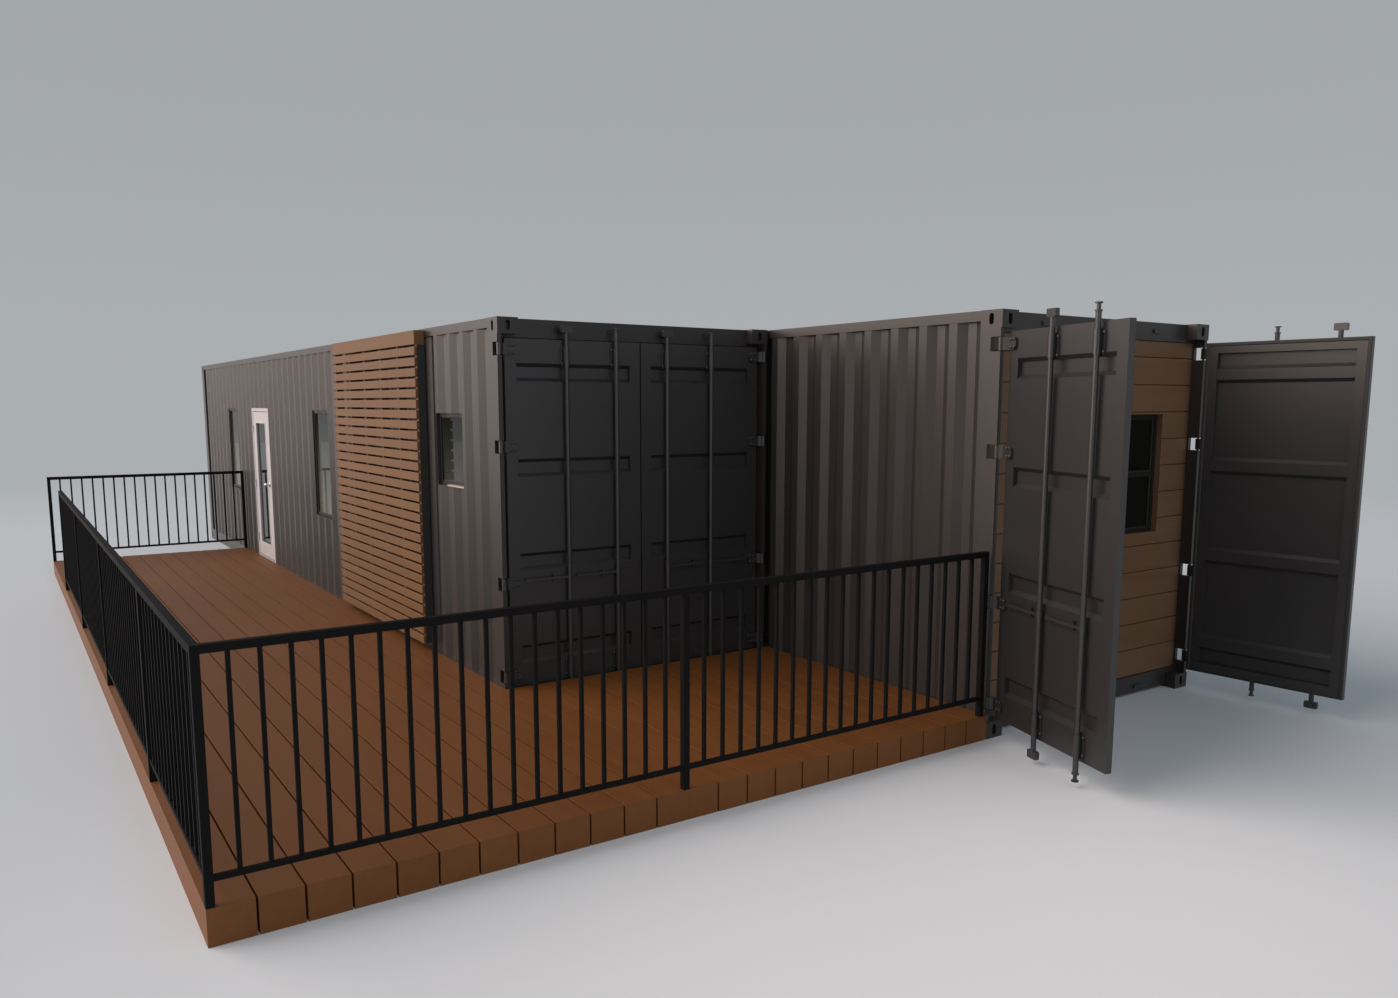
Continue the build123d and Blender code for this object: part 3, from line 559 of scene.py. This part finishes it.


# Windows. Black powder-coated aluminium frames set deep in the cut walls, with dark green-grey glass, a
# rubber seal round each pane and a folded sill below. The side panes carry a painted reflection, pale low
# down and dark higher up, and the small window's pale sill is a painted highlight on a real sill.
frame_metal, frame_shader, place = new_material("window_frame", (0.009, 0.009, 0.009), 0.45, shine=0.25)
powder = place.noise(160.0, 2.0)
place.feed(frame_shader.inputs["Base Color"], powder.blend((0.007, 0.007, 0.007), (0.011, 0.011, 0.011)))
place.feed(frame_shader.inputs["Normal"], powder.bump(0.0003, 0.4))
glass, glass_shader, place = new_material("window_glass", (0.005, 0.006, 0.004), 0.03, shine=0.2)
film = place.noise(1.4, 3.0)
place.feed(glass_shader.inputs["Base Color"], film.blend((0.003, 0.004, 0.002), (0.007, 0.008, 0.006)))
place.feed(glass_shader.inputs["Roughness"], film * 0.03 + 0.015)
# The small window's sill is a pale brushed metal, paler than the dark sills of the other windows. The
# paleness is a painted highlight standing in for the light on its top, while the brushing is the metal's
# own.
sill_metal_painted_highlight, sill_shader, place = new_material("sill_metal_painted_highlight", (0.42, 0.38, 0.34), 0.35)
brushed = place.stretched((3.0, 0.4, 3.0)).noise(30.0, 3.0)
place.feed(sill_shader.inputs["Base Color"], brushed.blend((0.36, 0.33, 0.30), (0.48, 0.44, 0.40)))
for node in ("main_window_frames", "annex_window_frame"):
    dress(node, frame_metal)
side_glass, side_shader, place = new_material("side_window_glass", (0.010, 0.012, 0.010), 0.03, shine=0.15)
# The side panes' colour is paler below and dark higher up: a painted reflection of a pale ground below the
# horizon and dark surroundings above it.
pale_below, dark_above = 0.9, 2.2
painted_reflection = 1.0 - place.axes()[2].smooth(pale_below, dark_above)
place.feed(side_shader.inputs["Base Color"], painted_reflection.blend((0.008, 0.012, 0.009), (0.100, 0.104, 0.092)))
place.feed(side_shader.inputs["Roughness"], place.noise(1.4, 3.0) * 0.03 + 0.015)
dress("main_window_panes", side_glass)
for node in ("annex_window_panes", "entry_door_pane"):
    dress(node, glass)

left_low, left_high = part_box("main_window_frames")
pane_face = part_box("main_window_panes")[0].x
front_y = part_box("main_corner_castings")[0].y
window_head = left_high.z
bar_width = 0.032
seal = [(0.0, 0.0), (0.008, 0.0), (0.0065, 0.004), (0.0, 0.005)]
sill_reach, sill_slack, sill_foot, sill_top, sill_ease = 0.049, 0.001, 0.0005, 0.012, 0.0025
for label, start, width, height, sill_length, sill_finish in (
    ("small", 0.720, 0.610, 0.585, 0.350, sill_metal_painted_highlight),
    ("middle", 4.565, 0.762, 1.195, 0.762, frame_metal),
    ("far", 9.530, 0.762, 1.195, 0.762, frame_metal),
):
    low_y, high_y = front_y + start, front_y + start + width
    low_z, high_z = window_head - height, window_head
    spans = (width - 2 * bar_width, height - 2 * bar_width)
    corner = (pane_face, high_y - bar_width, low_z + bar_width)
    points, faces = lips(corner, (0, -1, 0), (0, 0, 1), (-1, 0, 0), spans, seal)
    new_piece(f"{label}_window_seal", points, faces, rubber, "cabin")
    sill_low = (left_low.x - sill_reach, low_y + sill_slack, low_z + sill_foot)
    sill_high = (left_low.x, low_y + sill_length - sill_slack, low_z + sill_top)
    points, faces = bars([(sill_low, sill_high)], 1, sill_ease)
    new_piece(f"{label}_window_sill", points, faces, sill_finish, "cabin")

pane_low, pane_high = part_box("annex_window_panes")
middle_z = (pane_low.z + pane_high.z) / 2
for label, low_z, high_z in (
    ("lower", pane_low.z, middle_z - bar_width / 2),
    ("upper", middle_z + bar_width / 2, pane_high.z),
):
    corner = (pane_low.x, pane_low.y, low_z)
    spans = (pane_high.x - pane_low.x, high_z - low_z)
    points, faces = lips(corner, (1, 0, 0), (0, 0, 1), (0, -1, 0), spans, seal)
    new_piece(f"end_window_{label}_seal", points, faces, rubber, "cabin")


# Entry door. A white steel door with one tall dark pane in a raised white bead, hung in a white frame on
# three butt hinges, with satin steel knobs and a steel plate on the threshold.
white, white_shader, place = new_material("door_white", (0.46, 0.455, 0.475), 0.34)
skin = place.noise(0.8, 3.0)
place.feed(white_shader.inputs["Base Color"], skin.blend((0.44, 0.435, 0.455), (0.48, 0.475, 0.495)))
place.feed(white_shader.inputs["Normal"], place.noise(210.0, 1.0).bump(0.0003, 0.3))
steel, steel_shader, place = new_material("satin_steel", (0.55, 0.54, 0.52), 0.28, 1.0)
wear = place.noise(22.0, 3.0)
place.feed(steel_shader.inputs["Base Color"], wear.blend((0.46, 0.45, 0.43), (0.62, 0.61, 0.59)))
place.feed(steel_shader.inputs["Roughness"], wear * 0.16 + 0.2)
dress("entry_door_frame", white)
dress("entry_door_leaf", white)

pane_low, pane_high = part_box("entry_door_pane")
bead = [(-0.024, 0.0), (0.004, 0.0), (0.004, 0.002), (-0.002, 0.0055), (-0.012, 0.006), (-0.021, 0.0035)]
spans = (pane_high.y - pane_low.y, pane_high.z - pane_low.z)
door_thickness = 0.045
outer_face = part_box("main_corner_castings")[0].x
inner_face = outer_face + door_thickness
for label, face_x, outward, along in (
    ("outer", outer_face, (-1, 0, 0), (0, -1, 0)),
    ("inner", inner_face, (1, 0, 0), (0, 1, 0)),
):
    corner_y = pane_high.y if along[1] < 0 else pane_low.y
    points, faces = lips((face_x, corner_y, pane_low.z), along, (0, 0, 1), outward, spans, bead)
    new_piece(f"entry_door_{label}_bead", points, faces, white, "entry_door")

knob_low, knob_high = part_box("entry_door_knobs")
knob_y, knob_z = (knob_low.y + knob_high.y) / 2, (knob_low.z + knob_high.z) / 2
ball_radius, ball_half_depth, ball_out, knob_sides = 0.026, 0.023, 0.049, 32
arc = np.linspace(0.18, np.pi - 0.12, 12)
rose = [(0.033, 0.0), (0.033, 0.004), (0.026, 0.007), (0.012, 0.009), (0.0095, 0.026)]
knob = rose + [(ball_radius * math.sin(a), ball_out - ball_half_depth * math.cos(a)) for a in arc]
for label, face_x, outward in (("outer", outer_face, (-1, 0, 0)), ("inner", inner_face, (1, 0, 0))):
    points, faces = turned([(face_x, knob_y, knob_z)], outward, knob, knob_sides)
    name = f"entry_{label}_knob"
    piece = new_piece(name, points, faces, steel, "entry_door", smooth=True)
    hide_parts("entry_door_knobs")

jamb_width, threshold_height, plate_thickness, plate_ease = 0.043, 0.018, 0.0035, 0.0012
plate_outer_gap, plate_inner_gap = 0.006, 0.004
frame_low, frame_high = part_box("entry_door_frame")
plate_foot = frame_low.z + threshold_height
plate_low = (frame_low.x + plate_outer_gap, frame_low.y + jamb_width, plate_foot)
plate_high = (frame_high.x - plate_inner_gap, frame_high.y - jamb_width, plate_foot + plate_thickness)
points, faces = bars([(plate_low, plate_high)], 1, plate_ease)
new_piece("entry_threshold_plate", points, faces, steel, "cabin")


# Slatted screen. Planed softwood slats nailed across six upright battens that stand against the wall's
# ribs, with a deeper fascia board on top. A dark rubber strip at the near end behind the slats stands in
# for the shade in the gap there: painted shade.
screen_low, screen_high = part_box("slat_screen")
slat_depth, slat_height, slat_gap, slat_ease, most_slats = 0.020, 0.070, 0.0170, 0.003, 40
fascia, foot_slack = 0.116, 0.001
screen_wood = timber(
    "screen_timber",
    ((0.108, 0.050, 0.017), (0.134, 0.064, 0.022), (0.166, 0.082, 0.031)),
    1,
    slat_height + slat_gap,
    2,
    screen_high.z - fascia,
    0.55,
)
face_back = screen_low.x + slat_depth
tops = screen_high.z - fascia - slat_gap - (slat_height + slat_gap) * np.arange(most_slats)
tops = tops[tops - slat_height >= screen_low.z - foot_slack]
heights = [(top - slat_height, top) for top in tops] + [(screen_high.z - fascia, screen_high.z)]
slats = [
    ((screen_low.x, screen_low.y, bottom), (face_back, screen_high.y, top)) for bottom, top in heights
]
points, faces = bars(slats, 1, slat_ease)
screen = new_piece("screen_slats", points, faces, screen_wood, "cabin")
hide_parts("slat_screen")
batten_width, batten_count, batten_ease = 0.040, 6, 0.002
strip_thickness, strip_back, strip_in, strip_ease = 0.004, 0.004, 0.0005, 0.0012
batten_start = screen_low.y + strip_thickness
batten_step = (screen_high.y - batten_start - batten_width) / (batten_count - 1)
battens = [
    (
        (face_back, batten_start + step * batten_step, screen_low.z),
        (screen_high.x, batten_start + step * batten_step + batten_width, screen_high.z),
    )
    for step in range(batten_count)
]
points, faces = bars(battens, 2, batten_ease)
batten_piece = new_piece("screen_battens", points, faces, screen_wood, "cabin")
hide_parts("slat_screen")
# A dark rubber strip set where the near end shows only the shade in the gap behind the slats: painted
# shade.
strip_low = (face_back + strip_back, screen_low.y + strip_in, screen_low.z)
strip_high = (screen_high.x, screen_low.y + strip_thickness, screen_high.z - fascia)
points, faces = bars([(strip_low, strip_high)], 2, strip_ease)
new_piece("screen_end_shade_strip", points, faces, rubber, "cabin")


# Deck. Heavy sawn timbers laid side by side on the ground, close to 200 millimetres wide, with eased
# edges and a narrow dark gap between them. All of them run away from the viewer.
timber_gap, timber_ease, side_timbers = 0.010, 0.0012, 12
deck_boxes = {name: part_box(name) for name in ("side_deck", "front_deck")}
side_low, side_high = deck_boxes["side_deck"]
deck_pitch = (side_high.x - side_low.x) / side_timbers
deck_wood = timber(
    "deck_timber",
    ((0.108, 0.038, 0.0065), (0.134, 0.048, 0.0090), (0.160, 0.059, 0.0130)),
    1,
    deck_pitch,
    0,
    side_low.x,
    0.52,
)
for name, (low, high) in deck_boxes.items():
    count = round((high.x - low.x) / deck_pitch)
    pitch = (high.x - low.x) / count
    joints_at = low.x + pitch * np.arange(1, count)
    lefts = np.concatenate([[low.x], joints_at + timber_gap / 2])
    rights = np.concatenate([joints_at - timber_gap / 2, [high.x]])
    beams = [((x0, low.y, low.z), (x1, high.y, high.z)) for x0, x1 in zip(lefts, rights)]
    points, faces = bars(beams, 1, timber_ease)
    piece = new_piece(f"{name}_timbers", points, faces, deck_wood, "cabin")
    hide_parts(name)


# Railings. Square steel tube posts and rails with slim square balusters, welded up in bays and powder
# coated near-black.
railing_paint = steel_paint("railing_paint", (0.0078, 0.0078, 0.0080), 0.6, shine=0.03)
for name in ("front_railing", "side_railing", "rear_railing"):
    dress(name, railing_paint)


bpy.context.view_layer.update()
